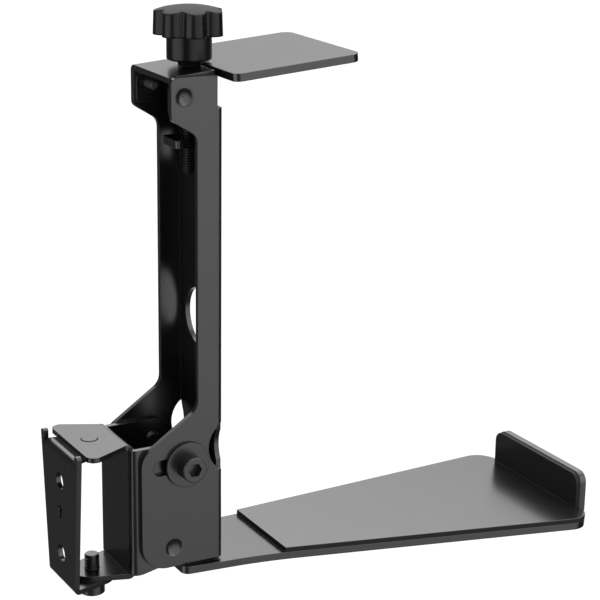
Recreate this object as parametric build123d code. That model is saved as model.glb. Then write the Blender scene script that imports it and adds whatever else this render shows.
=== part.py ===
from build123d import *
import math
import os

# Speaker wall bracket: a wall plate, a swivel bracket that turns on it, a tall folded
# column that tilts on the swivel bracket, a support shelf under the speaker and a clamp
# that a hand knob screws down on its top.
# Frame: the origin lies on the wall, midway between the two wall screw holes.
# +X leads away from the wall, +Z is up and Y runs across.

# Sheet metal
sheet = 2.0                   # wall plate, swivel bracket and column
bend_inside = 0.6             # inner bend radius of that sheet
heavy_sheet = 3.0             # support plate and clamp
heavy_bend_inside = 0.8       # inner bend radius of the heavy sheet

# Clearances
running_gap = 0.05            # round a pin, screw or rod that turns or slides
seat_gap = 0.02               # round a screw that sits fast
face_gap = 0.1                # between flat faces that slide on each other
side_gap = 0.2                # between column cheek and swivel bracket ear

# Wall plate
wall_half_height = 28.0
wall_half_bottom = 12.9
wall_half_top = 18.1
stop_top = 30.7               # top of the two swivel stops beside the upper tongue
stop_inner = 15.3
relief_width = 1.0
wall_hole_pitch = 30.0
wall_hole_radius = 3.5
tongue_radius = 8.6
swivel_axis_x = 12.6

# Swivel bracket
web_from_axis = 10.6          # swivel axis to rear face of the web
ear_length = 31.0             # rear face of the web to front edge of the ears
ear_top = 28.15
ear_bottom = -23.7
ear_nose_radius = 9.0
ear_heel_flat = 4.1           # level stretch of the lower ear edge beside the web
ear_heel_slope = 0.206
ear_heel_radius = 9.0
plate_rear_gap = 2.2          # upper plate to wall plate
plate_half_front = 12.9
plate_half_rear = 21.6
plate_neck = 1.1              # straight stretch behind the web
plate_corner_radius = 3.4
lower_half_front = 13.1
lower_radius = 8.5

# Swivel pin and swivel screw
pin_radius = 3.3
pin_head_radius = 5.0
pin_head_height = 2.0
pin_proud = 0.25
screw_radius = 3.0            # every threaded piece
screw_head_radius = 5.0
screw_head_height = 6.0
screw_socket_radius = 2.89    # corner radius of a 5 mm hexagon socket
screw_socket_depth = 3.2
screw_head_chamfer = 0.35
swivel_screw_length = 10.3

# Tilt pivot and tilt screws
pivot_from_web = 16.67        # rear face of the web to the pivot
pivot_z = -13.83
pivot_radius = 3.0
pivot_reach = 1.5             # how far the pressed boss enters the ear
dimple_radius = 3.7           # round dish that the pressing leaves outside
dimple_depth = 1.3
slot_radius = 34.3
slot_width = 6.5
tilt_screw_angle = 9.1        # degrees forward of straight above the pivot
tilt_travel = 18.0            # degrees
tilt_screw_length = 8.0
washer_radius = 9.0
washer_thickness = 1.5

# Column
column_half = 17.75
pivot_behind_front = 21.33
pivot_above_bottom = 8.07
foot_depth = 34.85
foot_heel_radius = 10.5
foot_shoulder = 47.6
foot_shoulder_radius = 9.0
neck_depth = 10.9
neck_bottom = 63.7
neck_bottom_radius = 6.0
neck_top_radius = 5.0
head_depth = 21.4
head_bottom_radius = 3.0
head_corner_radius = 2.0
column_height = 191.85
neck_top_drop = 22.05         # each drop is measured down from the column's top
head_drop = 15.55             # to the lower rear corner of the head
web_drop = 12.35              # to the web's upper edge
head_set_back = 2.7           # cheek front edges above the web
notch_up = 46.5
notch_radius = 11.07
notch_ahead = 4.64            # notch centre in front of the column, seen from the side
notch_web_radius = 12.4
notch_web_offset = 25.9       # notch centre from the middle, seen from the front
web_hole_up = 94.4
web_hole_radius = 11.5
tongue_slot_half = 6.9
tongue_slot_drop = 39.85       # to the lower end of the slot for the clamp's tongue

# Cap that closes the top of the column, folded over from the far cheek
cap_rear_drop = 0.05
cap_rise = 1.5                # how much higher its front edge is
cap_near_gap = 0.4

# Foot flange and support plate, both sloping gently down to the front
support_slope = 2.89          # degrees
support_drop = 1.3            # column bottom to plate top, at the column's front face
flange_half = 13.0
flange_depth = 18.0
support_rear = 18.3
support_half_rear = 20.1
support_rear_radius = 3.0
support_taper_start = 17.3
support_taper = 0.1458
support_side_radius = 200.0
support_length = 166.5        # column front to front edge
support_corner_radius = 9.0
lip_half = 30.4
lip_set_back = 0.3            # front edge of the flat to the lip's inner face
lip_up = 7.7                  # lip top above column bottom
lip_corner_radius = 4.6
lip_bend_outside = 4.0
rivet_radius = 2.5
rivet_behind = 10.2
rivet_offset = 6.8
rivet_head_radius = 4.4
rivet_head_height = 1.3

# Rubber pads
pad_thickness = 2.0
pad_start = 26.1
lip_pad_up = 7.4
pad_lip_gap = 0.15            # shelf pad to lip pad
web_pad_half = 12.0
web_pad_height = 11.8
web_pad_corner_radius = 1.0
lower_pad_up = 66.1
upper_pad_drop = 53.55

# Clamp
rod_behind = 5.6
clamp_slope = 4.33            # degrees, rising to the front
clamp_rise = 1.93             # column top to the plate's top, at the column's front face
clamp_rear = 1.05
clamp_length = 52.2
clamp_half = 28.7
clamp_rear_radius = 3.0
clamp_front_radius = 4.5
clamp_bend_outside = 4.0
tongue_half = 6.43
tongue_front = 0.7
lug_drop = 25.85
lug_rear = 14.0
lug_corner_radius = 1.4

# Knob and rod
rod_end_drop = 39.65
rod_in_knob = 13.0
stem_radius = 4.25
stem_height = 1.75
hub_radius = 8.5
hub_height = 9.4
hub_edge_radius = 0.8
grip_radius = 13.45           # over the lobes, at their foot
grip_height = 8.6
grip_draft = 1.9              # degrees
dome_height = 2.2
lobe_count = 7
lobe_turn = -102.6            # bearing of one lobe, degrees from +X
lobe_radius = 4.25
flute_depth = 2.75            # lobe tip to the floor of the flute between two lobes
groove_radius = 2.2           # turned groove in the rod, held by the retainer's fork

# Rod retainer, a folded bracket riveted between the cheeks
retainer_front = 9.3          # front edge of its ears behind the column's front face
retainer_rear_gap = 0.5       # head's rear edge to the retainer's ears
retainer_top_set_back = 4.0   # how much further in its top plate starts
retainer_drop = 14.25
retainer_corner_radius = 2.0
fork_half = 6.0
fork_tip = 2.75               # front end of the fork behind the column's front face

# Blind rivets that hold the retainer, with sunk dished heads and round inner tails
tail_rivet_behind = 16.16
tail_rivet_drop = 7.0
tail_rivet_radius = 1.8
tail_rivet_head = 3.7
tail_rivet_sunk = 1.4
tail_rivet_dish_radius = 3.4
tail_rivet_dish = 1.1
tail_rivet_reach = 8.1        # inner face of the cheek to the tip of the tail

# Places that follow from the sizes above
bend_outside = bend_inside + sheet
web_x = swivel_axis_x + web_from_axis
pivot_x = web_x + pivot_from_web
column_front = pivot_x + pivot_behind_front
column_bottom = pivot_z - pivot_above_bottom
column_inner = column_half - sheet
ear_outer = column_inner - side_gap
ear_inner = ear_outer - sheet
ear_front = web_x + ear_length
upper_plate_bottom = wall_half_height + face_gap
lower_plate_bottom = face_gap + sheet - wall_half_height
tilt_screw_x = pivot_x + slot_radius * math.sin(math.radians(tilt_screw_angle))
tilt_screw_z = pivot_z + slot_radius * math.cos(math.radians(tilt_screw_angle))
washer_face = column_half + face_gap / 2
rod_x = column_front - rod_behind
web_height = column_height - web_drop
tail_rivet_up = column_height - tail_rivet_drop
cap_rear_up = column_height - cap_rear_drop
clamp_up = column_height + clamp_rise
lip_inner = support_length - lip_set_back
web_pad_ups = {"lower": lower_pad_up, "upper": column_height - upper_pad_drop}
support_angle = math.radians(support_slope)
clamp_angle = math.radians(clamp_slope)
cap_length = head_depth - head_set_back
cap_angle = math.atan2(cap_rise, cap_length)
through = 100.0               # a cut that passes right through


def col(behind, up):
    """Side-view point: distance behind the column's front face, height above its bottom."""
    return (column_front - behind, column_bottom + up)


def rounded(corners, radii):
    """Closed flat outline with its own radius at each corner."""
    return make_face(FilletPolyline(*corners, radius=radii, close=True))


def side_slab(outline, near, far):
    """Side-view outline made solid between two Y values."""
    return Pos(0, far, 0) * extrude(Plane.XZ * outline, amount=far - near)


def front_slab(outline, rear, front):
    """Front-view outline made solid between two X values."""
    return extrude(Plane.YZ.offset(rear) * outline, amount=front - rear)


def plan_slab(outline, bottom, top):
    """Plan-view outline made solid between two heights."""
    return extrude(Plane.XY.offset(bottom) * outline, amount=top - bottom)


def box_between(x0, x1, y0, y1, z0, z1):
    """Plain block given by its six faces."""
    block = Box(x1 - x0, y1 - y0, z1 - z0, align=(Align.MIN, Align.MIN, Align.MIN))
    return Pos(x0, y0, z0) * block


def rod_y(x, z, radius, y0, y1):
    """Round bar along Y."""
    return Pos(x, (y0 + y1) / 2, z) * Rot(90, 0, 0) * Cylinder(radius, abs(y1 - y0))


def rod_z(x, y, radius, z0, z1):
    """Round bar along Z."""
    return Pos(x, y, (z0 + z1) / 2) * Cylinder(radius, z1 - z0)


def ball_radius(cap_radius, cap_depth):
    """Radius of the ball that a cap of this radius and depth is cut from."""
    return (cap_radius ** 2 + cap_depth ** 2) / (2 * cap_depth)


def dish(radius, depth):
    """Ball that sinks this deep below the XY plane and leaves a dish of this radius."""
    ball = ball_radius(radius, depth)
    return Pos(0, 0, ball - depth) * Sphere(ball)


def folded_c(rear, front, bottom, top, bend_side):
    """Sheet folded twice into a C, seen from the side; bend_side is where the web stands."""
    outer = [(rear, bottom), (front, bottom), (front, top), (rear, top)]
    if bend_side == "front":
        outer_radii = [0, bend_outside, bend_outside, 0]
        inner = [(rear - 1, bottom + sheet), (front - sheet, bottom + sheet),
                 (front - sheet, top - sheet), (rear - 1, top - sheet)]
        inner_radii = [0, bend_inside, bend_inside, 0]
    else:
        outer_radii = [bend_outside, 0, 0, bend_outside]
        inner = [(rear + sheet, bottom + sheet), (front + 1, bottom + sheet),
                 (front + 1, top - sheet), (rear + sheet, top - sheet)]
        inner_radii = [bend_inside, 0, 0, bend_inside]
    return rounded(outer, outer_radii) - rounded(inner, inner_radii)


def tongue_outline(root_x, root_half, radius):
    """Plan outline of a tongue that narrows to a round end about the swivel axis."""
    reach = math.hypot(root_x - swivel_axis_x, root_half)
    lean = math.acos(radius / reach)
    side = 1 if root_x < swivel_axis_x else -1
    bearing = math.atan2(root_half, root_x - swivel_axis_x) - side * lean
    touch_x = swivel_axis_x + radius * math.cos(bearing)
    touch_y = radius * math.sin(bearing)
    tip_x = swivel_axis_x + side * radius
    edges = [
        Line((root_x, -root_half), (root_x, root_half)),
        Line((root_x, root_half), (touch_x, touch_y)),
        ThreePointArc((touch_x, touch_y), (tip_x, 0), (touch_x, -touch_y)),
        Line((touch_x, -touch_y), (root_x, -root_half)),
    ]
    return make_face(edges)


def socket_screw(length):
    """Cap screw standing on its head's underside at the origin, shank up, head below."""
    shank = Pos(0, 0, length / 2) * Cylinder(screw_radius, length)
    head = Pos(0, 0, -screw_head_height / 2) * Cylinder(screw_head_radius, screw_head_height)
    head = chamfer(head.edges().filter_by(GeomType.CIRCLE).sort_by(Axis.Z)[0], screw_head_chamfer)
    shank = chamfer(shank.edges().filter_by(GeomType.CIRCLE).sort_by(Axis.Z)[-1], 0.5)
    hexagon = RegularPolygon(screw_socket_radius, 6)
    socket = plan_slab(hexagon, -screw_head_height - 1, -screw_head_height + screw_socket_depth)
    return head + shank - socket


def wall_plate():
    """Tapered plate on the wall, with two folded tongues and two upright swivel stops."""
    bend_z = wall_half_height - bend_outside
    inner = stop_inner - relief_width
    right_side = [(wall_half_bottom, -bend_z), (wall_half_top, stop_top), (stop_inner, stop_top),
                  (stop_inner, bend_z - relief_width), (inner, bend_z - relief_width), (inner, bend_z)]
    left_side = [(-y, z) for y, z in reversed(right_side)]
    radii = [0, 1, 0.8, 0, 0, 0]
    plate = front_slab(rounded(right_side + left_side, radii + radii[::-1]), 0, sheet)
    profile = folded_c(0, through, -wall_half_height, wall_half_height, "rear")
    folded = side_slab(profile, -through, through)
    upper = plan_slab(tongue_outline(0, inner, tongue_radius), 0, through)
    lower = plan_slab(tongue_outline(0, wall_half_bottom, tongue_radius), -through, 0)
    body = plate + (folded & upper) + (folded & lower)
    for height in (-wall_hole_pitch / 2, wall_hole_pitch / 2):
        body -= Pos(0, 0, height) * Rot(0, 90, 0) * Cylinder(wall_hole_radius, 4 * sheet)
    body -= rod_z(swivel_axis_x, 0, pin_radius + seat_gap, 0, through)
    return body - rod_z(swivel_axis_x, 0, screw_radius + running_gap, -through, 0)


def swivel_bracket():
    """Two ears and two level plates folded from one web."""
    heel_rise = ear_bottom + ear_heel_slope * (ear_length - ear_heel_flat)
    ear_side = rounded(
        [(web_x, ear_bottom), (web_x + ear_heel_flat, ear_bottom), (ear_front, heel_rise),
         (ear_front, ear_top), (web_x, ear_top)],
        [0, 0, ear_heel_radius, ear_nose_radius, 0])
    outer = rounded([(web_x, -ear_outer), (through, -ear_outer), (through, ear_outer), (web_x, ear_outer)],
                    [bend_outside, 0, 0, bend_outside])
    inner = rounded([(web_x + sheet, -ear_inner), (through + 1, -ear_inner),
                     (through + 1, ear_inner), (web_x + sheet, ear_inner)],
                    [bend_inside, 0, 0, bend_inside])
    ears = plan_slab(outer - inner, -through, through) & side_slab(ear_side, -through, through)

    plate_rear = sheet + plate_rear_gap
    upper_top = upper_plate_bottom + sheet
    profile = folded_c(-through, web_x + sheet, lower_plate_bottom, upper_top, "front")
    folded = side_slab(profile, -through, through)
    neck_x = web_x - plate_neck
    upper_plan = rounded(
        [(web_x + sheet, -plate_half_front), (web_x + sheet, plate_half_front),
         (neck_x, plate_half_front), (plate_rear, plate_half_rear),
         (plate_rear, -plate_half_rear), (neck_x, -plate_half_front)],
        [0, 0, 0, plate_corner_radius, plate_corner_radius, 0])
    lower_plan = tongue_outline(web_x + sheet, lower_half_front, lower_radius)
    body = ears + (folded & plan_slab(upper_plan, 0, through))
    body += folded & plan_slab(lower_plan, -through, 0)
    body -= rod_z(swivel_axis_x, 0, pin_radius + running_gap, 0, through)
    body -= rod_z(swivel_axis_x, 0, screw_radius + seat_gap, -through, 0)
    body -= rod_y(pivot_x, pivot_z, pivot_radius + running_gap, -through, through)
    return body - rod_y(tilt_screw_x, tilt_screw_z, screw_radius + seat_gap, -through, through)


def swivel_pin():
    """Pin riveted into the upper tongue; the swivel bracket hangs over it."""
    tongue_bottom = wall_half_height - sheet
    top = upper_plate_bottom + sheet + pin_proud
    shank = rod_z(swivel_axis_x, 0, pin_radius, tongue_bottom, top)
    shank = chamfer(shank.edges().filter_by(GeomType.CIRCLE).sort_by(Axis.Z)[-1], 0.3)
    head = rod_z(swivel_axis_x, 0, pin_head_radius, tongue_bottom - pin_head_height, tongue_bottom)
    head = chamfer(head.edges().filter_by(GeomType.CIRCLE).sort_by(Axis.Z)[0], 0.8)
    return shank + head


def swivel_screw():
    """Screw put in from below, through the lower tongue into the swivel bracket."""
    return Pos(swivel_axis_x, 0, -wall_half_height) * socket_screw(swivel_screw_length)


def tilt_washer(side):
    """Broad washer that clamps the column's cheek."""
    outer = rod_y(tilt_screw_x, tilt_screw_z, washer_radius, side * washer_face,
                  side * (washer_face + washer_thickness))
    return outer - rod_y(tilt_screw_x, tilt_screw_z, screw_radius + seat_gap, -through, through)


def tilt_screw(side):
    """Cap screw through washer and slot into the ear."""
    seat = washer_face + washer_thickness
    turn = Rot(90 * side, 0, 0)
    return Pos(tilt_screw_x, side * seat, tilt_screw_z) * turn * socket_screw(tilt_screw_length)


def cap():
    """Top fold: rises out of the far cheek and reaches across to the near one."""
    near = -(column_inner - cap_near_gap)
    leg = 4.0
    outer = [(column_half, -leg), (column_half, 0), (near, 0), (near, -sheet),
             (column_inner, -sheet), (column_inner, -leg)]
    profile = rounded(outer, [0, bend_outside, 0, 0, bend_inside, 0])
    rear_x, rear_z = col(head_depth, cap_rear_up)
    tilted = Plane(origin=(rear_x, 0, rear_z), x_dir=(0, 1, 0),
                   z_dir=(math.cos(cap_angle), 0, math.sin(cap_angle)))
    strip = extrude(tilted * profile, amount=2 * cap_length, both=True)
    front_x = column_front - head_set_back
    return strip & box_between(rear_x, front_x, -through, through, 0, 2 * column_height)


def pivot_boss(side):
    """Boss pressed inward at the tilt pivot and the dish it leaves: solid to add, solid to cut."""
    boss = rod_y(pivot_x, pivot_z, pivot_radius, side * (column_inner + sheet / 2),
                 side * (column_inner - pivot_reach - side_gap))
    face = Pos(pivot_x, side * column_half, pivot_z) * Rot(-90 * side, 0, 0)
    return boss, face * dish(dimple_radius, dimple_depth)


def tail_rivet_blank(side, gap):
    """Blind rivet without its dish, wider by a gap where it makes its own hole."""
    x, z = col(tail_rivet_behind, tail_rivet_up)
    radius = tail_rivet_radius + gap
    tail = rod_y(x, z, radius, side * column_half, side * (column_inner - tail_rivet_reach))
    head = Cone(radius, tail_rivet_head + gap, tail_rivet_sunk)
    middle = side * (column_half - tail_rivet_sunk / 2)
    return tail, Pos(x, middle, z) * Rot(-90 * side, 0, 0) * head


def foot_flange():
    """Lower end of the web folded back onto the support plate."""
    slope = math.tan(support_angle)
    rise = flange_depth * slope
    top = sheet / math.cos(support_angle)
    outline = rounded(
        [col(0, foot_heel_radius), col(0, -support_drop), col(flange_depth, rise - support_drop),
         col(flange_depth, rise - support_drop + top),
         col(sheet, sheet * slope - support_drop + top), col(sheet, foot_heel_radius)],
        [0, bend_outside, 0, 0, bend_inside, 0])
    flange = side_slab(outline, -flange_half, flange_half)
    for side in (-1, 1):
        flange -= rivet_place(side) * Cylinder(rivet_radius + seat_gap, 6 * sheet)
    return flange


def column():
    """Folded channel, open to the wall: deep foot, slim neck, head with a cap."""
    bend_line = column_half - bend_outside
    outer = rounded([(column_front, -column_half), (0, -column_half), (0, column_half),
                     (column_front, column_half)], [bend_outside, 0, 0, bend_outside])
    hollow_front = column_front - sheet
    inner = rounded([(hollow_front, -column_inner), (-1, -column_inner), (-1, column_inner),
                     (hollow_front, column_inner)], [bend_inside, 0, 0, bend_inside])
    channel = plan_slab(outer - inner, column_bottom - 1, column_bottom + column_height + 1)
    corners = [col(0, 0), col(foot_depth, 0), col(foot_depth, foot_shoulder), col(neck_depth, neck_bottom),
               col(neck_depth, column_height - neck_top_drop), col(head_depth, column_height - head_drop),
               col(head_depth, column_height),
               col(head_set_back, column_height), col(head_set_back, web_height), col(0, web_height)]
    radii = [0, foot_heel_radius, foot_shoulder_radius, neck_bottom_radius, neck_top_radius,
             head_bottom_radius, head_corner_radius, 0, 0, 0]
    near = side_slab(rounded(corners, radii), -through, 0)
    far_up = cap_rear_up - bend_outside
    far_front = far_up + cap_rise
    corners[6] = col(head_depth, far_up - 0.2)
    corners[7] = col(head_set_back, far_front - 0.2)
    radii[6] = 0
    far = side_slab(rounded(corners, radii), 0, through)
    body = (channel & near) + (channel & far) + cap() + foot_flange()

    x, z = col(-notch_ahead, notch_up)
    for side in (-1, 1):
        body -= rod_y(x, z, notch_radius, side * bend_line, side * through)
        web_notch = Pos(column_front, side * notch_web_offset, z) * Rot(0, 90, 0)
        body -= web_notch * Cylinder(notch_web_radius, 2 * bend_outside)
        boss, dimple = pivot_boss(side)
        body = body + boss - dimple
        tail, head = tail_rivet_blank(side, seat_gap)
        body -= tail + head
    hole_x, hole_z = col(0, web_hole_up)
    body -= Pos(hole_x, 0, hole_z) * Rot(0, 90, 0) * Cylinder(web_hole_radius, 4 * sheet)
    slot_z = column_bottom + column_height - tongue_slot_drop
    body -= box_between(column_front - 2 * sheet, column_front + 1, -tongue_slot_half, tongue_slot_half,
                        slot_z, column_bottom + web_height + 1)
    start = 90 - tilt_screw_angle
    path = CenterArc((pivot_x, pivot_z), slot_radius, start, tilt_travel)
    body -= side_slab(SlotArc(path, slot_width), -through, through)
    return body - rod_z(rod_x, 0, screw_radius + 0.25, column_bottom + web_height, through * 3)


def support_plane(above):
    """Plane parallel to the support plate, above the plate's top, X along the plate."""
    x, z = col(0, -support_drop)
    lean = (math.sin(support_angle), 0, math.cos(support_angle))
    return Plane(origin=(x + lean[0] * above, 0, z + lean[2] * above),
                 x_dir=(lean[2], 0, -lean[0]), z_dir=lean)


def support_outline(rear, rear_radius):
    """Plan outline of the support plate, from a chosen rear edge to the front edge."""
    front_half = support_half_rear + support_taper * (support_length - support_taper_start)
    right = [(support_length, front_half)]
    radii = [support_corner_radius]
    if rear < support_taper_start - support_side_radius * support_taper:
        right.append((support_taper_start, support_half_rear))
        radii.append(support_side_radius)
        right.append((rear, support_half_rear))
    else:
        right.append((rear, support_half_rear + support_taper * (rear - support_taper_start)))
    radii.append(rear_radius)
    left = [(x, -y) for x, y in reversed(right)]
    return rounded(right + left, radii + radii[::-1])


def drop_at(x):
    """Height of the support plate's top above column bottom, x ahead of the column."""
    return -support_drop - x * math.tan(support_angle)


def support_plate():
    """Shelf under the speaker, with a lip folded up at its front."""
    flat = extrude(support_plane(-heavy_sheet) * support_outline(-support_rear, support_rear_radius),
                   amount=heavy_sheet)
    depth = heavy_sheet / math.cos(support_angle)
    root = lip_inner - 12
    lip_outer = lip_inner + heavy_sheet
    profile = rounded(
        [col(-root, drop_at(root)), col(-lip_inner, drop_at(lip_inner)), col(-lip_inner, lip_up),
         col(-lip_outer, lip_up), col(-lip_outer, drop_at(lip_outer) - depth),
         col(-root, drop_at(root) - depth)],
        [0, heavy_bend_inside, 0, 0, lip_bend_outside, 0])
    lip = side_slab(profile, -lip_half, lip_half)
    body = flat + (lip & front_slab(lip_outline(lip_half, lip_up), 0, through * 3))
    for side in (-1, 1):
        body -= rivet_place(side) * Cylinder(rivet_radius + seat_gap, 6 * sheet)
    return body


def lip_outline(half, up):
    """Front view of the lip, its upper corners rounded."""
    top = column_bottom + up
    return rounded([(-half, -through), (half, -through), (half, top), (-half, top)],
                   [0, 0, lip_corner_radius, lip_corner_radius])


def support_pad():
    """Rubber sheet on the shelf, stopping at the lip pad."""
    pad = extrude(support_plane(0) * support_outline(pad_start, 0), amount=pad_thickness)
    lip_face = column_front + lip_inner - pad_thickness - pad_lip_gap
    return pad - box_between(lip_face, lip_face + through, -lip_half, lip_half, -through, through)


def lip_pad():
    """Rubber strip on the inner face of the lip."""
    front = column_front + lip_inner
    strip = front_slab(lip_outline(lip_half - seat_gap, lip_pad_up), front - pad_thickness, front)
    bottom = column_bottom + drop_at(lip_inner) + heavy_bend_inside + seat_gap
    return strip & box_between(0, through * 3, -through, through, bottom, through)


def rivet_place(side):
    """Rivet axis, square to the support plate, with its origin on the plate's top."""
    place = support_plane(0)
    return place.location * Pos(-rivet_behind, side * rivet_offset, 0)


def support_rivet(side):
    """Rivet that holds the support plate to the column's foot flange."""
    shank = Pos(0, 0, (sheet - heavy_sheet) / 2) * Cylinder(rivet_radius, sheet + heavy_sheet)
    lower = Pos(0, 0, -heavy_sheet - rivet_head_height / 2) * Cylinder(rivet_head_radius, rivet_head_height)
    upper = Pos(0, 0, sheet + rivet_head_height / 2) * Cylinder(rivet_head_radius, rivet_head_height)
    lower = chamfer(lower.edges().filter_by(GeomType.CIRCLE).sort_by(Axis.Z)[0], rivet_head_height * 0.7)
    upper = chamfer(upper.edges().filter_by(GeomType.CIRCLE).sort_by(Axis.Z)[-1], rivet_head_height * 0.7)
    return rivet_place(side) * (shank + lower + upper)


def web_pad(up):
    """Rubber block on the front of the column."""
    height = column_bottom + up
    outline = rounded([(-web_pad_half, height - web_pad_height / 2), (web_pad_half, height - web_pad_height / 2),
                       (web_pad_half, height + web_pad_height / 2), (-web_pad_half, height + web_pad_height / 2)],
                      [web_pad_corner_radius] * 4)
    return front_slab(outline, column_front, column_front + pad_thickness)


def clamp():
    """Top plate, tongue down the column's slot and threaded lug, folded from one blank."""
    slope = math.tan(clamp_angle)
    thickness = heavy_sheet / math.cos(clamp_angle)
    x, z = col(0, clamp_up)
    tilted = Plane(origin=(x, 0, z), x_dir=(math.cos(clamp_angle), 0, math.sin(clamp_angle)),
                   z_dir=(-math.sin(clamp_angle), 0, math.cos(clamp_angle)))
    plan = rounded([(-clamp_rear, -clamp_half), (clamp_length, -clamp_half),
                    (clamp_length, clamp_half), (-clamp_rear, clamp_half)],
                   [clamp_rear_radius, clamp_front_radius, clamp_front_radius, clamp_rear_radius])
    plate = extrude(tilted * plan, amount=-heavy_sheet)
    plate -= box_between(0, column_front + clamp_bend_outside, -tongue_half, tongue_half, 0, through * 3)
    rear = heavy_sheet - tongue_front
    root = 10.0
    lug_top_up = column_height - lug_drop
    lug_bottom = lug_top_up - heavy_sheet
    profile = rounded(
        [col(-root, clamp_up + root * slope), col(rear, clamp_up - rear * slope), col(rear, lug_top_up),
         col(lug_rear, lug_top_up), col(lug_rear, lug_bottom), col(-tongue_front, lug_bottom),
         col(-tongue_front, clamp_up + tongue_front * slope - thickness),
         col(-root, clamp_up + root * slope - thickness)],
        [0, clamp_bend_outside, heavy_bend_inside, 0, 0, clamp_bend_outside, heavy_bend_inside, 0])
    tongue = side_slab(profile, -tongue_half, tongue_half)
    corners = tongue.edges().filter_by(Axis.Z).group_by(Axis.X)[0]
    tongue = fillet(corners, lug_corner_radius)
    lug_z = column_bottom + lug_bottom
    hole = rod_z(rod_x, 0, screw_radius + running_gap, lug_z - 1, lug_z + heavy_sheet + 1)
    return plate + tongue - hole


def cap_seats():
    """Heights where the stem rests on the cap and where the retainer meets it from below."""
    above = cap_rear_up + cap_rise + face_gap / 2
    thickness = sheet / math.cos(cap_angle)
    below = cap_rear_up + retainer_rear_gap * math.tan(cap_angle) - thickness - face_gap / 2
    return column_bottom + above, column_bottom + below


def star_outline():
    """Plan outline of the knob's grip: round lobes with a round flute between each two."""
    half_pitch = math.pi / lobe_count
    lobe_centre = grip_radius - lobe_radius
    floor = grip_radius - flute_depth
    along = lobe_centre * math.cos(half_pitch)
    across = lobe_centre * math.sin(half_pitch)
    inward = floor - along
    flute_radius = (inward ** 2 + across ** 2 - lobe_radius ** 2) / (2 * (lobe_radius - inward))
    share = lobe_radius / (lobe_radius + flute_radius)
    touch_along = along + share * (floor + flute_radius - along)
    touch_across = across * (1 - share)
    reach = math.hypot(touch_along, touch_across)
    turn = math.degrees(half_pitch - math.atan2(touch_across, touch_along))
    pitch = 360 / lobe_count

    def place(bearing, radius):
        angle = math.radians(bearing)
        return (radius * math.cos(angle), radius * math.sin(angle))

    edges = []
    for number in range(lobe_count):
        middle = lobe_turn + number * pitch
        edges.append(ThreePointArc(place(middle - turn, reach), place(middle, grip_radius),
                                   place(middle + turn, reach)))
        edges.append(ThreePointArc(place(middle + turn, reach), place(middle + pitch / 2, floor),
                                   place(middle + pitch - turn, reach)))
    return make_face(edges)


def knob():
    """Seven-lobed star knob with a shallow dome, a hub and a short stem."""
    stem_bottom = cap_seats()[0]
    hub_bottom = stem_bottom + stem_height
    grip_bottom = hub_bottom + hub_height
    top = grip_bottom + grip_height + dome_height
    grip = extrude(Pos(0, 0, grip_bottom) * star_outline(), amount=top - grip_bottom, taper=grip_draft)
    ball = ball_radius(grip_radius, dome_height)
    grip &= Pos(0, 0, top - ball) * Sphere(ball)
    hub = rod_z(0, 0, hub_radius, hub_bottom, grip_bottom)
    hub = fillet(hub.edges().filter_by(GeomType.CIRCLE).sort_by(Axis.Z)[0], hub_edge_radius)
    body = grip + hub + rod_z(0, 0, stem_radius, stem_bottom, hub_bottom)
    bore = rod_z(0, 0, screw_radius + seat_gap, stem_bottom - 1, stem_bottom + rod_in_knob)
    return Pos(rod_x, 0, 0) * (body - bore)


def threaded_rod():
    """Rod fixed in the knob; it draws the clamp's lug up or down."""
    bottom = column_bottom + column_height - rod_end_drop
    rod = rod_z(rod_x, 0, screw_radius, bottom, cap_seats()[0] + rod_in_knob)
    rod = chamfer(rod.edges().filter_by(GeomType.CIRCLE).sort_by(Axis.Z)[0], 0.6)
    top = cap_seats()[1] + face_gap / 2
    ring = rod_z(rod_x, 0, 2 * screw_radius, top - sheet - face_gap, top)
    return rod - (ring - rod_z(rod_x, 0, groove_radius, top - 2 * sheet, top + sheet))


def rod_retainer():
    """Folded bracket in the column's head whose fork holds the rod by its groove."""
    top = cap_seats()[1]
    bottom = column_bottom + column_height - retainer_drop
    outer_half = column_inner - face_gap
    rear = column_front - head_depth + retainer_rear_gap
    front = column_front - retainer_front
    inner_half = outer_half - sheet
    outer = rounded([(-outer_half, bottom), (-outer_half, top), (outer_half, top), (outer_half, bottom)],
                    [0, bend_outside, bend_outside, 0])
    inner = rounded([(-inner_half, bottom - 1), (-inner_half, top - sheet),
                     (inner_half, top - sheet), (inner_half, bottom - 1)],
                    [0, bend_inside, bend_inside, 0])
    top_rear = rear + retainer_top_set_back
    shoulder = top - bend_outside
    side = rounded([(rear, bottom), (front, bottom), (front, top), (top_rear, top),
                    (top_rear, shoulder), (rear, shoulder)],
                   [retainer_corner_radius, retainer_corner_radius, 0, 0, 0, 0])
    shell = front_slab(outer - inner, rear, front) & side_slab(side, -through, through)
    tip = column_front - fork_tip
    fork = box_between(front - 1, tip, -fork_half, fork_half, top - sheet, top)
    fork = fillet(fork.edges().filter_by(Axis.Z).group_by(Axis.X)[-1], 1.0)
    body = shell + fork
    reach = groove_radius + running_gap
    body -= rod_z(rod_x, 0, reach, top - 2 * sheet, top + 1)
    body -= box_between(rod_x, tip + 1, -reach, reach, top - 2 * sheet, top + 1)
    hole_x, hole_z = col(tail_rivet_behind, tail_rivet_up)
    return body - rod_y(hole_x, hole_z, tail_rivet_radius + seat_gap, -through, through)


def retainer_rivet(side):
    """Blind rivet through cheek and retainer: dished head outside, round tail inside."""
    x, z = col(tail_rivet_behind, tail_rivet_up)
    tail, head = tail_rivet_blank(side, 0)
    inner_edge = tail.edges().filter_by(GeomType.CIRCLE).sort_by(Axis.Y)[0 if side > 0 else -1]
    tail = chamfer(inner_edge, tail_rivet_radius * 0.4)
    face = Pos(x, side * column_half, z) * Rot(-90 * side, 0, 0)
    return tail + head - face * dish(tail_rivet_dish_radius, tail_rivet_dish)


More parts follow.
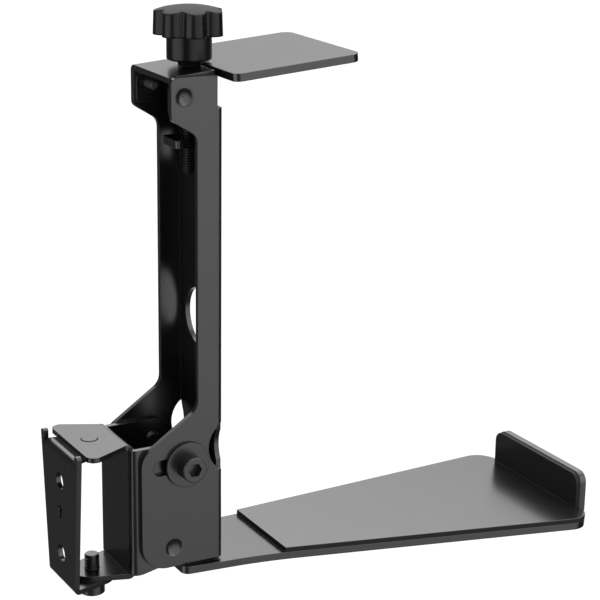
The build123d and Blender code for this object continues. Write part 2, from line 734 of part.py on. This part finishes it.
pieces = {
    "wall_plate": wall_plate(),
    "swivel_pin": swivel_pin(),
    "swivel_bracket": swivel_bracket(),
    "swivel_screw": swivel_screw(),
    "column": column(),
    "support_plate": support_plate(),
    "support_pad": support_pad(),
    "lip_pad": lip_pad(),
    "clamp": clamp(),
    "knob": knob(),
    "threaded_rod": threaded_rod(),
    "rod_retainer": rod_retainer(),
}
for side_name, side in (("near", -1), ("far", 1)):
    pieces["tilt_screw_" + side_name] = tilt_screw(side)
    pieces["tilt_washer_" + side_name] = tilt_washer(side)
    pieces["support_rivet_" + side_name] = support_rivet(side)
    pieces["retainer_rivet_" + side_name] = retainer_rivet(side)
for pad_name, pad_up in web_pad_ups.items():
    pieces["web_pad_" + pad_name] = web_pad(pad_up)

os.makedirs("parts", exist_ok=True)
for node, solid in pieces.items():
    export_step(solid, "parts/" + node + ".step")
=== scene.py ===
import math

import bmesh
import bpy
from mathutils import Matrix, Vector


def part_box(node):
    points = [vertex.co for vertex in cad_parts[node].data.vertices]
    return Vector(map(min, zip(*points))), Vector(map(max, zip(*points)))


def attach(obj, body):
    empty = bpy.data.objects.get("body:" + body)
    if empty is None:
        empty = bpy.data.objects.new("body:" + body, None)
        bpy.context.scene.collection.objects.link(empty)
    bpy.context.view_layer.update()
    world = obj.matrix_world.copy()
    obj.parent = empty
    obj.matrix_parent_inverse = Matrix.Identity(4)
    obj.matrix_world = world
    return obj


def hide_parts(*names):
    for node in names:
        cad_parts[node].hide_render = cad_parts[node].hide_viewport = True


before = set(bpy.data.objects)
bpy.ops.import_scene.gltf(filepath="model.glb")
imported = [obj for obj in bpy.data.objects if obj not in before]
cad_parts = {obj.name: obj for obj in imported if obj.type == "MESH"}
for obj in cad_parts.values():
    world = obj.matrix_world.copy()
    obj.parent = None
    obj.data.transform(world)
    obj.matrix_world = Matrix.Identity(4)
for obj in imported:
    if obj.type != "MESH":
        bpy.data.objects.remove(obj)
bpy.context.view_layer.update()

# The view: a long lens looks down on the bracket from its near, wall side.
# The bearing turns the view from +Y towards -X; aim is the point in the picture's middle.
camera_bearing = math.radians(-29.438)
camera_drop = math.radians(17.149)
camera_roll = math.radians(0.839)
camera_distance = 0.72
film_width = 36
lens_length = 110.8
nearest_seen = 0.01
farthest_seen = 50
aim = Vector((0.09626, -0.01423, 0.07804))
forward = Vector((-math.sin(camera_bearing) * math.cos(camera_drop),
                  math.cos(camera_bearing) * math.cos(camera_drop),
                  -math.sin(camera_drop)))
right = Vector((math.cos(camera_bearing), math.sin(camera_bearing), 0))
turned = Matrix((right, right.cross(forward), -forward)).transposed()
turned = turned @ Matrix.Rotation(camera_roll, 3, "Z")
bpy.ops.object.camera_add()
camera = bpy.context.object
camera.name = "view"
camera.data.sensor_width = film_width
camera.data.lens = lens_length
camera.data.clip_start = nearest_seen
camera.data.clip_end = farthest_seen
camera.matrix_world = Matrix.Translation(aim - forward * camera_distance) @ turned.to_4x4()
scene = bpy.context.scene
scene.camera = camera
scene.view_settings.view_transform = "Standard"

# The studio: a white sheet far below the bracket, as if it hung on a wall, and a room that
# is bright to the right and above, dim at the left, with one more lamp far left.
# The camera sees sheet and room as plain white; mirror rays see the lit room.
floor_height = -0.32
floor_size = 14
paper_shade = 0.85
paper_glow = 1.08
glow_share = 0.88
bpy.ops.mesh.primitive_plane_add(size=floor_size, location=(0, 0, floor_height))
floor = bpy.context.object
floor.name = "floor"
paper = bpy.data.materials.new("white_paper")
paper.use_nodes = True
nodes = paper.node_tree.nodes
links = paper.node_tree.links
nodes.clear()
paper_out = nodes.new("ShaderNodeOutputMaterial")
sight = nodes.new("ShaderNodeLightPath")
matt = nodes.new("ShaderNodeBsdfDiffuse")
matt.inputs["Color"].default_value = (paper_shade, paper_shade, paper_shade, 1)
glow = nodes.new("ShaderNodeEmission")
glow.inputs["Color"].default_value = (1, 1, 1, 1)
glow.inputs["Strength"].default_value = paper_glow
seen = nodes.new("ShaderNodeMixShader")
seen.inputs["Fac"].default_value = glow_share
unseen = nodes.new("ShaderNodeBsdfTransparent")
mirrored = nodes.new("ShaderNodeMixShader")
whole = nodes.new("ShaderNodeMixShader")
links.new(matt.outputs["BSDF"], seen.inputs[1])
links.new(glow.outputs["Emission"], seen.inputs[2])
links.new(sight.outputs["Is Glossy Ray"], mirrored.inputs["Fac"])
links.new(matt.outputs["BSDF"], mirrored.inputs[1])
links.new(unseen.outputs["BSDF"], mirrored.inputs[2])
links.new(sight.outputs["Is Camera Ray"], whole.inputs["Fac"])
links.new(mirrored.outputs["Shader"], whole.inputs[1])
links.new(seen.outputs["Shader"], whole.inputs[2])
links.new(whole.outputs["Shader"], paper_out.inputs["Surface"])
floor.data.materials.append(paper)

room = bpy.data.worlds.new("room")
scene.world = room
room.use_nodes = True
nodes = room.node_tree.nodes
links = room.node_tree.links
nodes.clear()
room_out = nodes.new("ShaderNodeOutputWorld")
air = nodes.new("ShaderNodeBackground")
where = nodes.new("ShaderNodeTexCoord")


def ranged(tree, source, start, full, low, high):
    """A node that maps one value, start to full, onto low to high and stays within them."""
    mapped = tree.nodes.new("ShaderNodeMapRange")
    mapped.inputs["From Min"].default_value = start
    mapped.inputs["From Max"].default_value = full
    mapped.inputs["To Min"].default_value = low
    mapped.inputs["To Max"].default_value = high
    tree.links.new(source, mapped.inputs["Value"])
    return mapped


def lit_towards(direction, start, full, low, high):
    """Brightness that goes from low to high as a ray turns towards one direction.

    start and full are cosines of the angle between the two, where the change begins and ends.
    """
    along = nodes.new("ShaderNodeVectorMath")
    along.operation = "DOT_PRODUCT"
    along.inputs[1].default_value = Vector(direction).normalized()
    links.new(where.outputs["Generated"], along.inputs[0])
    brightness = ranged(room.node_tree, along.outputs["Value"], start, full, low, high)
    brightness.interpolation_type = "SMOOTHSTEP"
    return brightness.outputs["Result"]


def combined(operation, first, second):
    """Two brightness values joined by one sum or product."""
    joined = nodes.new("ShaderNodeMath")
    joined.operation = operation
    links.new(first, joined.inputs[0])
    links.new(second, joined.inputs[1])
    return joined.outputs["Value"]


right_side = lit_towards((0.85, 0.25, 0.46), start=0.12, full=0.50, low=0.12, high=0.90)
low_gap = lit_towards((0.97, 0.0, -0.25), start=0.72, full=0.87, low=1.0, high=0.05)
overhead = lit_towards((0.25, 0.45, 0.857), start=0.735, full=0.805, low=0.0, high=2.1)
near_side = lit_towards((0.30, -0.90, 0.30), start=0.50, full=0.88, low=0.0, high=1.5)
far_left_lamp = lit_towards((-0.975, -0.04, 0.04), start=0.80, full=0.92, low=0.0, high=1.9)
far_side = lit_towards((0.50, 0.75, -0.45), start=0.84, full=0.94, low=0.0, high=1.1)
level = combined("MULTIPLY", combined("ADD", right_side, near_side), low_gap)
for lamp in (far_side, far_left_lamp, overhead):
    level = combined("ADD", level, lamp)
blank = nodes.new("ShaderNodeBackground")
blank.inputs["Strength"].default_value = 1
eye = nodes.new("ShaderNodeLightPath")
either = nodes.new("ShaderNodeMixShader")
links.new(level, air.inputs["Strength"])
links.new(eye.outputs["Is Camera Ray"], either.inputs["Fac"])
links.new(air.outputs["Background"], either.inputs[1])
links.new(blank.outputs["Background"], either.inputs[2])
links.new(either.outputs["Shader"], room_out.inputs["Surface"])

# Wall plate: laser-cut and folded steel, baked with a smooth black powder that rounds the
# cut edges and dries with a faint orange peel. A small arrow that shows which way is up
# is stamped between its two holes, on the side that faces the wall.
cloud_scale = 45
noise_detail = 3
tint_spread = 0.15
polish_spread = 0.03
corner_reach = 0.0016
corner_samples = 8
corner_roughness = 0.75
edge_samples = 6
merge_distance = 1e-6
flat_angle = math.radians(0.3)
smooth_angle = math.radians(22)
arrow_width = 0.0056
arrow_height = 0.0056
arrow_middle = 0.0021
arrow_depth = 0.0012
arrow_stroke = 0.0020
arrow_slope = 0.45
arrow_stem_share = 0.9
quarter_turn = math.radians(90)


def coated(name, shade, roughness, index, peel_size, peel_height, edge):
    """Black material with a soft edge, faint orange peel and slightly uneven polish.

    The coat is thicker in inner corners, so it is dull there and its normal isn't softened.
    """
    coat = bpy.data.materials.new(name)
    coat.use_nodes = True
    tree = coat.node_tree
    nodes = tree.nodes
    links = tree.links
    shader = nodes["Principled BSDF"]
    shader.inputs["IOR"].default_value = index
    place = nodes.new("ShaderNodeTexCoord")
    cloud = nodes.new("ShaderNodeTexNoise")
    cloud.inputs["Scale"].default_value = cloud_scale
    cloud.inputs["Detail"].default_value = noise_detail
    tint = ranged(tree, cloud.outputs["Fac"], start=0, full=1,
                  low=shade * (1 - tint_spread), high=shade * (1 + tint_spread))
    polish = ranged(tree, cloud.outputs["Fac"], start=0, full=1,
                    low=roughness - polish_spread, high=roughness + polish_spread)
    peel = nodes.new("ShaderNodeTexNoise")
    peel.inputs["Scale"].default_value = 1 / peel_size
    peel.inputs["Detail"].default_value = noise_detail
    corner = nodes.new("ShaderNodeAmbientOcclusion")
    corner.samples = corner_samples
    corner.inputs["Distance"].default_value = corner_reach
    dull = ranged(tree, corner.outputs["AO"], start=0.45, full=0.80, low=corner_roughness, high=0)
    openness = ranged(tree, corner.outputs["AO"], start=0.60, full=0.92, low=0, high=1)
    rough = nodes.new("ShaderNodeMath")
    rough.operation = "MAXIMUM"
    true_face = nodes.new("ShaderNodeNewGeometry")
    soft_edge = nodes.new("ShaderNodeBevel")
    soft_edge.samples = edge_samples
    soft_edge.inputs["Radius"].default_value = edge
    relief = nodes.new("ShaderNodeBump")
    relief.inputs["Distance"].default_value = peel_height
    relief.inputs["Strength"].default_value = 1
    links.new(place.outputs["Object"], cloud.inputs["Vector"])
    links.new(place.outputs["Object"], peel.inputs["Vector"])
    links.new(tint.outputs["Result"], shader.inputs["Base Color"])
    links.new(dull.outputs["Result"], rough.inputs[0])
    links.new(polish.outputs["Result"], rough.inputs[1])
    links.new(rough.outputs["Value"], shader.inputs["Roughness"])
    # a mix node for vectors takes them at its sockets 4 and 5 and gives the result at 1
    bent = nodes.new("ShaderNodeMix")
    bent.data_type = "VECTOR"
    links.new(openness.outputs["Result"], bent.inputs["Factor"])
    links.new(true_face.outputs["Normal"], bent.inputs[4])
    links.new(soft_edge.outputs["Normal"], bent.inputs[5])
    links.new(bent.outputs[1], relief.inputs["Normal"])
    links.new(peel.outputs["Fac"], relief.inputs["Height"])
    links.new(relief.outputs["Normal"], shader.inputs["Normal"])
    return coat


def only(piece):
    """Makes one object the active and the only selected one."""
    bpy.ops.object.select_all(action="DESELECT")
    bpy.context.view_layer.objects.active = piece
    piece.select_set(True)


def copy_of(node):
    """A merged copy of a solid, free to be worked on."""
    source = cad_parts[node]
    piece = source.copy()
    piece.data = source.data.copy()
    piece.name = node + "_finished"
    scene.collection.objects.link(piece)
    only(piece)
    bpy.ops.object.mode_set(mode="EDIT")
    bpy.ops.mesh.select_all(action="SELECT")
    bpy.ops.mesh.remove_doubles(threshold=merge_distance)
    bpy.ops.mesh.dissolve_limited(angle_limit=flat_angle)
    bpy.ops.object.mode_set(mode="OBJECT")
    return piece


def applied(piece, kind, **settings):
    """Adds one modifier with these settings and applies it."""
    modifier = piece.modifiers.new("work", kind)
    for setting, value in settings.items():
        setattr(modifier, setting, value)
    only(piece)
    bpy.ops.object.modifier_apply(modifier=modifier.name)


def finished(piece, node, body, material):
    """Shades the piece, gives it its material and lets it stand for its solid."""
    only(piece)
    bpy.ops.object.shade_smooth_by_angle(angle=smooth_angle)
    applied(piece, "WEIGHTED_NORMAL", keep_sharp=True)
    piece.data.materials.clear()
    piece.data.materials.append(material)
    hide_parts(node)
    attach(piece, body)


steel_coat = coated("black_powder_coat", shade=0.003, roughness=0.25, index=1.75,
                    peel_size=0.0009, peel_height=0.000008, edge=0.0003)
wall_plate = copy_of("wall_plate")
head_radius = arrow_width / math.sqrt(3)
bpy.ops.mesh.primitive_cylinder_add(vertices=3, radius=head_radius, depth=2 * arrow_depth)
arrow = bpy.context.object
bpy.ops.object.mode_set(mode="EDIT")
bpy.ops.transform.resize(value=(1, arrow_slope, 1))
bpy.ops.transform.translate(value=(0, arrow_height / 2 - arrow_slope * head_radius, 0))
bpy.ops.mesh.primitive_cube_add(size=1,
                                scale=(arrow_stroke, arrow_height * arrow_stem_share, 2 * arrow_depth),
                                location=(0, -arrow_height * (1 - arrow_stem_share) / 2, 0))
bpy.ops.object.mode_set(mode="OBJECT")
arrow.rotation_euler = (quarter_turn, 0, -quarter_turn)
arrow.location = (0, 0, arrow_middle)
only(arrow)
bpy.ops.object.transform_apply(location=True, rotation=True, scale=True)
applied(wall_plate, "BOOLEAN", operation="DIFFERENCE", object=arrow, solver="EXACT", use_self=True)
bpy.data.objects.remove(arrow)
finished(wall_plate, "wall_plate", "wall_mount", steel_coat)

# Swivel pin: a plain steel pin in the same black coat. It is riveted into the wall plate's
# upper tongue, and the upper plate of the swivel bracket turns on it.
finished(copy_of("swivel_pin"), "swivel_pin", "wall_mount", steel_coat)

# Swivel bracket: two ears and two level plates folded from one steel web, in the same
# coat. It hangs between the pin above and the swivel screw below.
least_bend = math.radians(0.5)
most_bend = math.radians(40)
bend_step = 0.00035


def crisp_inside(piece):
    """Closes the small inner bends to a sharp corner, as the thick coat fills them."""
    only(piece)
    bpy.ops.object.mode_set(mode="EDIT")
    bpy.ops.mesh.select_all(action="DESELECT")
    shape = bmesh.from_edit_mesh(piece.data)
    in_bend = set()
    for edge in shape.edges:
        if len(edge.link_faces) == 2 and not edge.is_convex:
            if least_bend < edge.calc_face_angle() < most_bend:
                in_bend.update(edge.verts)
    for edge in shape.edges:
        if edge.calc_length() < bend_step and in_bend.issuperset(edge.verts):
            edge.select_set(True)
    bmesh.update_edit_mesh(piece.data)
    bpy.ops.mesh.merge(type="COLLAPSE")
    bpy.ops.object.mode_set(mode="OBJECT")


bracket = copy_of("swivel_bracket")
crisp_inside(bracket)
finished(bracket, "swivel_bracket", "swivel_arm", steel_coat)

# Screws and washers: M6 cap screws of steel with a hexagon socket, rolled threads and a
# black oxide finish, and two broad turned washers under the tilt screws. One screw holds
# the swivel bracket from below, and two clamp the column's cheeks to the bracket's ears.
screw_radius = 0.003
screw_head_height = 0.006
thread_pitch = 0.001
thread_root = 0.0025
thread_crest = 0.00298
thread_turn_steps = 20
shank_tolerance = 0.0001
eased_edge = 0.0002


def box_of(node):
    """Lowest and highest corner of a solid's box, as vectors."""
    low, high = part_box(node)
    return Vector(low), Vector(high)


def slimmed(piece, centre, axis):
    """Takes the shank of a copied screw down to the root of its thread."""
    for vertex in piece.data.vertices:
        offset = vertex.co - centre
        offset[axis] = 0
        if abs(offset.length - screw_radius) < shank_tolerance:
            vertex.co -= offset * (1 - thread_root / offset.length)


def thread(name, start, end, material, node, body):
    """Helical ridge of a thread, from one point on the screw's axis to another."""
    axis = Vector(end) - Vector(start)
    turns = int((axis.length - thread_pitch) / thread_pitch)
    ridge_height = thread_crest - thread_root
    bpy.ops.mesh.primitive_circle_add(vertices=3, radius=ridge_height, fill_type="NOTHING")
    ridge = bpy.context.object
    ridge.name = name
    bpy.ops.object.mode_set(mode="EDIT")
    bpy.ops.transform.rotate(value=quarter_turn, orient_axis="Z", center_override=(0, 0, 0))
    bpy.ops.transform.rotate(value=quarter_turn, orient_axis="X", center_override=(0, 0, 0))
    bpy.ops.transform.translate(value=(thread_crest - ridge_height, 0, thread_pitch / 2))
    bpy.ops.object.mode_set(mode="OBJECT")
    applied(ridge, "SCREW", axis="Z", angle=2 * math.pi, screw_offset=thread_pitch, iterations=turns,
            steps=thread_turn_steps, render_steps=thread_turn_steps, use_smooth_shade=False)
    only(ridge)
    bpy.ops.object.mode_set(mode="EDIT")
    bpy.ops.mesh.select_all(action="SELECT")
    bpy.ops.mesh.remove_doubles(threshold=merge_distance)
    bpy.ops.mesh.select_all(action="DESELECT")
    bpy.ops.mesh.select_non_manifold()
    bpy.ops.mesh.fill_holes(sides=0)
    bpy.ops.mesh.select_all(action="SELECT")
    bpy.ops.mesh.normals_make_consistent(inside=False)
    bpy.ops.object.mode_set(mode="OBJECT")
    ridge.matrix_world = Matrix.Translation(start) @ axis.to_track_quat("Z", "Y").to_matrix().to_4x4()
    bpy.ops.object.transform_apply(location=True, rotation=True, scale=True)
    finished(ridge, node, body, material)


def eased(piece, width, segments, angle):
    """Rounds every edge that turns by more than the angle, in degrees."""
    applied(piece, "BEVEL", width=width, segments=segments, limit_method="ANGLE",
            angle_limit=math.radians(angle))


oxide = coated("black_oxide", shade=0.004, roughness=0.28, index=1.75,
               peel_size=0.0006, peel_height=0.000003, edge=0.0002)
low, high = box_of("swivel_screw")
middle = (low + high) / 2
screw = copy_of("swivel_screw")
slimmed(screw, middle, axis=2)
finished(screw, "swivel_screw", "swivel_arm", oxide)
thread("swivel_screw_thread", (middle.x, middle.y, low.z + screw_head_height),
       (middle.x, middle.y, high.z), oxide, "swivel_screw", "swivel_arm")
for node, side in (("tilt_screw_near", -1), ("tilt_screw_far", 1)):
    low, high = box_of(node)
    middle = (low + high) / 2
    screw = copy_of(node)
    slimmed(screw, middle, axis=1)
    finished(screw, node, "swivel_arm", oxide)
    outer, inner = (low.y, high.y) if side < 0 else (high.y, low.y)
    thread(node + "_thread", (middle.x, outer - side * screw_head_height, middle.z),
           (middle.x, inner, middle.z), oxide, node, "swivel_arm")
for node in ("tilt_washer_near", "tilt_washer_far"):
    washer = copy_of(node)
    eased(washer, eased_edge, segments=2, angle=50)
    finished(washer, node, "swivel_arm", oxide)

# Column: one channel of folded steel with foot, neck and head, coated like the wall plate,
# and in its head the bracket that holds the rod, on two blind rivets. The rivets' round
# tails lie between the bracket's sides and are bare steel.
column = copy_of("column")
crisp_inside(column)
finished(column, "column", "holder", steel_coat)
finished(copy_of("rod_retainer"), "rod_retainer", "holder", steel_coat)
dull_steel = coated("dull_steel", shade=0.035, roughness=0.5, index=1.5,
                    peel_size=0.0006, peel_height=0.000003, edge=0.0003)
retainer_low, retainer_high = box_of("rod_retainer")
for node in ("retainer_rivet_near", "retainer_rivet_far"):
    rivet = copy_of(node)
    finished(rivet, node, "holder", steel_coat)
    rivet.data.materials.append(dull_steel)
    for face in rivet.data.polygons:
        if retainer_low.y < face.center.y < retainer_high.y:
            face.material_index = 1

# Shelf: 3 mm steel with a folded lip, in the same black coat. Two rivets join it to the
# flange at the column's foot.
for node in ("support_plate", "support_rivet_near", "support_rivet_far"):
    finished(copy_of(node), node, "holder", steel_coat)

# Rubber: the sheet on the shelf, the strip on the lip and the two blocks on the column
# are black rubber with a smooth skin, cut from sheet and glued on. Their cut edges are matt.
least_skin_share = 0.9
rubber = coated("black_rubber", shade=0.009, roughness=0.24, index=1.85,
                peel_size=0.0008, peel_height=0.000004, edge=0.0002)
cut_rubber = coated("cut_rubber", shade=0.008, roughness=0.6, index=1.35,
                    peel_size=0.0008, peel_height=0.000006, edge=0.0002)
for node, thin_axis in (("support_pad", 2), ("lip_pad", 0), ("web_pad_lower", 0), ("web_pad_upper", 0)):
    pad = copy_of(node)
    eased(pad, eased_edge, segments=2, angle=50)
    finished(pad, node, "holder", rubber)
    pad.data.materials.append(cut_rubber)
    for face in pad.data.polygons:
        if abs(face.normal[thin_axis]) < least_skin_share:
            face.material_index = 1

# Clamp: plate, tongue and threaded lug folded from one 3 mm blank, in the same black coat.
# The lug sits on the rod inside the column, so that the clamp moves as the rod turns.
finished(copy_of("clamp"), "clamp", "top_clamp", steel_coat)

# Knob: black plastic, moulded in one shot round the head of the rod. Its sides are satin,
# the dome on top has a fine grain, and the stem below is matt.
dome_least_rise = 0.8
dome_depth = 0.003
stem_length = 0.0018
knob_edge = 0.0007
satin_plastic = coated("black_plastic", shade=0.003, roughness=0.26, index=1.38,
                       peel_size=0.0004, peel_height=0.000001, edge=0.0010)
grained_plastic = coated("grained_plastic", shade=0.004, roughness=0.5, index=1.3,
                         peel_size=0.0004, peel_height=0.000004, edge=0.0012)
bare_plastic = coated("bare_plastic", shade=0.003, roughness=0.6, index=1.2,
                      peel_size=0.0004, peel_height=0.000002, edge=0.0003)
knob = copy_of("knob")
eased(knob, knob_edge, segments=3, angle=40)
finished(knob, "knob", "hand_knob", satin_plastic)
knob.data.materials.append(grained_plastic)
knob.data.materials.append(bare_plastic)
knob_low, knob_high = box_of("knob")
for face in knob.data.polygons:
    if face.normal.z > dome_least_rise and face.center.z > knob_high.z - dome_depth:
        face.material_index = 1
    if face.center.z < knob_low.z + stem_length:
        face.material_index = 2

# Rod: an M6 rod of black oxide steel with a rolled thread, fixed in the knob. The plain
# stretch with its groove turns in the bracket inside the column's head.
plain_stretch = 0.0025
dark_oxide = coated("dark_black_oxide", shade=0.003, roughness=0.42, index=1.4,
                    peel_size=0.0006, peel_height=0.000003, edge=0.0001)
low, high = box_of("threaded_rod")
middle = (low + high) / 2
rod = copy_of("threaded_rod")
slimmed(rod, middle, axis=2)
finished(rod, "threaded_rod", "hand_knob", dark_oxide)
thread("threaded_rod_thread", (middle.x, middle.y, low.z),
       (middle.x, middle.y, retainer_high.z - plain_stretch),
       dark_oxide, "threaded_rod", "hand_knob")
